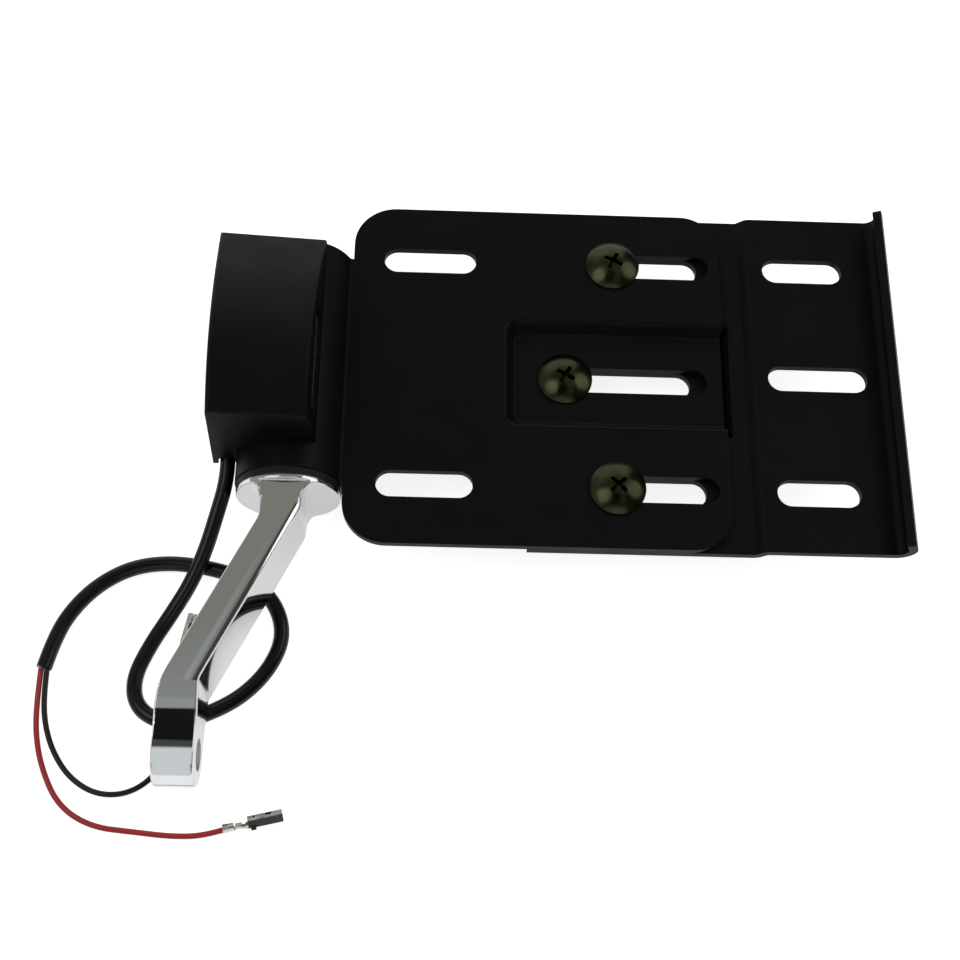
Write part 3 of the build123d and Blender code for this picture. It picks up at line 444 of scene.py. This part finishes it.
def open_box(width, height, gap):
    """Section of a folded strip: a box whose two edges meet at its top with a gap."""
    w, h = width / 2, height
    w2, h2 = w - FOLD_WALL, h - FOLD_WALL
    c, c2 = FOLD_CORNER, FOLD_CORNER * 0.6
    outer = [(gap / 2, h), (w - c, h), (w, h - c), (w, c), (w - c, 0)]
    inner = [(gap / 2, h2), (w2 - c2, h2), (w2, h2 - c2), (w2, FOLD_WALL + c2), (w2 - c2, FOLD_WALL)]
    return outer + mirrored(outer) + [(-y, z) for y, z in inner] + list(reversed(inner))


def open_ring(radius, wall, opening, centre_z):
    """Section of a strip rolled round a wire, open at its top."""
    count = 18
    turns = [math.radians(90 - opening - (360 - 2 * opening) * i / count) for i in range(count + 1)]
    hollow = radius - wall
    outer = [(radius * math.cos(a), centre_z + radius * math.sin(a)) for a in turns]
    inner = [(hollow * math.cos(a), centre_z + hollow * math.sin(a)) for a in reversed(turns)]
    return outer + inner


def terminal(name, at, heading, width, height, shaded_side_slot, roll):
    """Crimp round the insulation, crimp round the strands, neck and folded receptacle."""
    bm = bmesh.new()
    for radius, wall, opening, drop, x0, x1 in CRIMPS:
        extruded(bm, open_ring(radius, wall, opening, WIRE_HEIGHT - drop), x0, x1)
    for right, x0, x1 in NECKS:
        extruded(bm, both_sides(right), x0, x1)
    for x0, x1, gap in FOLDS:
        extruded(bm, open_box(width, height, gap), x0, x1)
    bm.normal_update()
    # Painted shade: the receptacle's side faces, and the wing, take the darker copy of the tin.
    if shaded_side_slot:
        start = FOLDS[0][0]
        for face in bm.faces:
            if face.calc_center_median().x > start and face.normal.z < 0.3 and abs(face.normal.x) < 0.5:
                face.material_index = shaded_side_slot
        extruded(bm, [(-width / 2 - y, z) for y, z in WING], WING_FROM, WING_TO, shaded_side_slot)
    bmesh.ops.recalc_face_normals(bm, faces=bm.faces)
    bmesh.ops.scale(bm, vec=(MM, MM, MM), verts=bm.verts)
    mesh = bpy.data.meshes.new(name)
    bm.to_mesh(mesh)
    bm.free()
    axis = Matrix.Translation((0, 0, WIRE_HEIGHT * MM))
    rolled = axis @ Matrix.Rotation(math.radians(-roll), 4, "X") @ axis.inverted()
    mesh.transform(Matrix.Translation(at) @ Matrix.Rotation(math.radians(heading), 4, "Z") @ rolled)
    made = linked(name, mesh)
    soft = made.modifiers.new("edges", "BEVEL")
    soft.width = SOFT_EDGE * MM
    soft.segments = 2
    soft.limit_method = "ANGLE"
    mesh.materials.append(MATERIALS["tin_plate"])
    mesh.materials.append(SHADED_TIN)
    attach(made, "arm")
    return made


sheath, sheath_line = tube("lead_sheath", SHEATH_ROUTE, SHEATH_D)
sheath.data.materials.append(MATERIALS["black_sheath"])
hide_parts("cable_sheath")
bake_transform(sheath)

red_end = terminal("red_wire_terminal", at=(-0.08021, -0.09202, 0.0005), heading=13.3,
                   width=2.0, height=3.0, shaded_side_slot=1, roll=40.0)
black_x, black_y, _ = BLACK_ROUTE[-1]
black_end = terminal("black_wire_terminal", at=(black_x - 0.0003, black_y - 0.0019, 0.0001), heading=79.0,
                     width=3.0, height=2.1, shaded_side_slot=0, roll=0.0)
for name, route, color, node, piece in (
    ("lead_red_wire", RED_ROUTE, "red_wire", "red_terminal", red_end),
    ("lead_black_wire", BLACK_ROUTE, "black_wire", "black_terminal", black_end),
):
    wire, line = tube(name, route, WIRE_D)
    wire.data.materials.append(MATERIALS[color])
    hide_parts(color)
    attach(wire, "arm")
    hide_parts(node)


# Floor, light and camera
def seen_rays(tree, names):
    """1 for rays of the named kinds."""
    rays = tree.nodes.new("ShaderNodeLightPath")
    found = rays.outputs[names[0]]
    for name in names[1:]:
        found = joined(tree, "MAXIMUM", found, rays.outputs[name])
    return found


def add_floor():
    corners = [(x * FLOOR_HALF, y * FLOOR_HALF, 0) for x, y in ((-1, -1), (1, -1), (1, 1), (-1, 1))]
    mesh = bpy.data.meshes.new("floor")
    mesh.from_pydata(corners, [], [(0, 1, 2, 3)])
    made = linked("floor", mesh)
    mat = bpy.data.materials.new("pale floor")
    mat.use_nodes = True
    tree = mat.node_tree
    tree.nodes.clear()
    out = tree.nodes.new("ShaderNodeOutputMaterial")
    both = tree.nodes.new("ShaderNodeAddShader")
    matt = tree.nodes.new("ShaderNodeBsdfDiffuse")
    matt.inputs["Color"].default_value = (0.8, 0.8, 0.8, 1)
    glow = tree.nodes.new("ShaderNodeEmission")
    straight = joined(tree, "MULTIPLY", seen_rays(tree, STRAIGHT_RAYS), FLOOR_SEEN)
    glossy = joined(tree, "MULTIPLY", seen_rays(tree, MIRRORED_RAYS), FLOOR_MIRRORED)
    tree.links.new(joined(tree, "MAXIMUM", straight, glossy), glow.inputs["Strength"])
    tree.links.new(matt.outputs[0], both.inputs[0])
    tree.links.new(glow.outputs[0], both.inputs[1])
    tree.links.new(both.outputs[0], out.inputs["Surface"])
    mesh.materials.append(mat)


def mirrored_studio(tree):
    """What polished faces see: haze, a dim ceiling with a black patch, and walls on three sides."""
    direction = tree.nodes.new("ShaderNodeTexCoord").outputs["Generated"]
    along_x, along_y, along_z = (axis_of(tree, direction, axis) for axis in range(3))
    near_patch = vectors(tree, "DOT_PRODUCT", direction, Vector((-0.10, -0.225, 0.97)).normalized())
    haze, ceiling = (0.9, 0.92, 0.94), (0.215, 0.22, 0.19)
    patch_ring, patch = (0.31, 0.32, 0.33), (0.008, 0.009, 0.008)
    strip, near_wall = (0.06, 0.065, 0.066), (0.68, 0.71, 0.72)
    left_wall, right_wall = (0.28, 0.29, 0.28), (0.05, 0.05, 0.047)
    sky = haze
    for value, starts, full, color in (
        (along_z, 0.52, 0.74, ceiling),
        (near_patch, 0.855, 0.90, patch_ring),
        (along_y, -0.46, -0.50, strip),
        (along_y, -0.58, -0.62, near_wall),
        (along_x, -0.45, -0.75, left_wall),
        (along_x, 0.38, 0.5, right_wall),
        (near_patch, 0.950, 0.960, patch),
    ):
        sky = two_colors(tree, spread(tree, value, 0.0, 1.0, starts, full), sky, color)
    return sky


def add_world():
    """White for the camera, the studio for polished faces, and for the rest light that grows along Y."""
    world = bpy.data.worlds.new("studio")
    bpy.context.scene.world = world
    world.use_nodes = True
    tree = world.node_tree
    tree.nodes.clear()
    out = tree.nodes.new("ShaderNodeOutputWorld")
    soft, mirror, white = (tree.nodes.new("ShaderNodeBackground") for _ in range(3))
    along_y = axis_of(tree, tree.nodes.new("ShaderNodeTexCoord").outputs["Generated"], 1)
    tree.links.new(spread(tree, along_y, 0.22, 0.7, -0.5, 0.25), soft.inputs["Strength"])
    white.inputs["Color"].default_value = (1, 1, 1, 1)
    tree.links.new(mirrored_studio(tree), mirror.inputs["Color"])
    glossy = tree.nodes.new("ShaderNodeMixShader")
    tree.links.new(seen_rays(tree, MIRRORED_RAYS), glossy.inputs["Fac"])
    tree.links.new(soft.outputs[0], glossy.inputs[1])
    tree.links.new(mirror.outputs[0], glossy.inputs[2])
    last = tree.nodes.new("ShaderNodeMixShader")
    tree.links.new(seen_rays(tree, STRAIGHT_RAYS), last.inputs["Fac"])
    tree.links.new(glossy.outputs[0], last.inputs[1])
    tree.links.new(white.outputs[0], last.inputs[2])
    tree.links.new(last.outputs[0], out.inputs["Surface"])


def add_lamp(name, at, size, power):
    """Round lamp that shines at the origin."""
    data = bpy.data.lights.new(name, "AREA")
    data.shape = "DISK"
    data.size = size
    data.energy = power
    made = linked(name, data)
    made.location = at
    made.rotation_mode = "QUATERNION"
    made.rotation_quaternion = (-Vector(at)).to_track_quat("-Z", "Y")
    made.visible_camera = False


def add_camera():
    data = bpy.data.cameras.new("camera")
    data.sensor_width = SENSOR_MM
    data.lens = FOCAL_PX * SENSOR_MM / PHOTO_PX
    data.clip_start = 0.01
    made = linked("camera", data)
    made.location = CAMERA_AT
    about_x, about_y, about_z = (
        Matrix.Rotation(math.radians(angle), 3, axis) for angle, axis in zip(CAMERA_TURN, "XYZ")
    )
    made.rotation_mode = "QUATERNION"
    made.rotation_quaternion = (about_z @ about_y @ about_x).transposed().to_quaternion()
    bpy.context.scene.camera = made


add_floor()
add_world()
add_lamp("key", at=(-0.7, -0.1, 1.1), size=0.8, power=2.6)
add_lamp("fill", at=(0.9, 0.3, 0.8), size=0.9, power=2.6)
add_camera()
bpy.context.scene.view_settings.view_transform = "Standard"
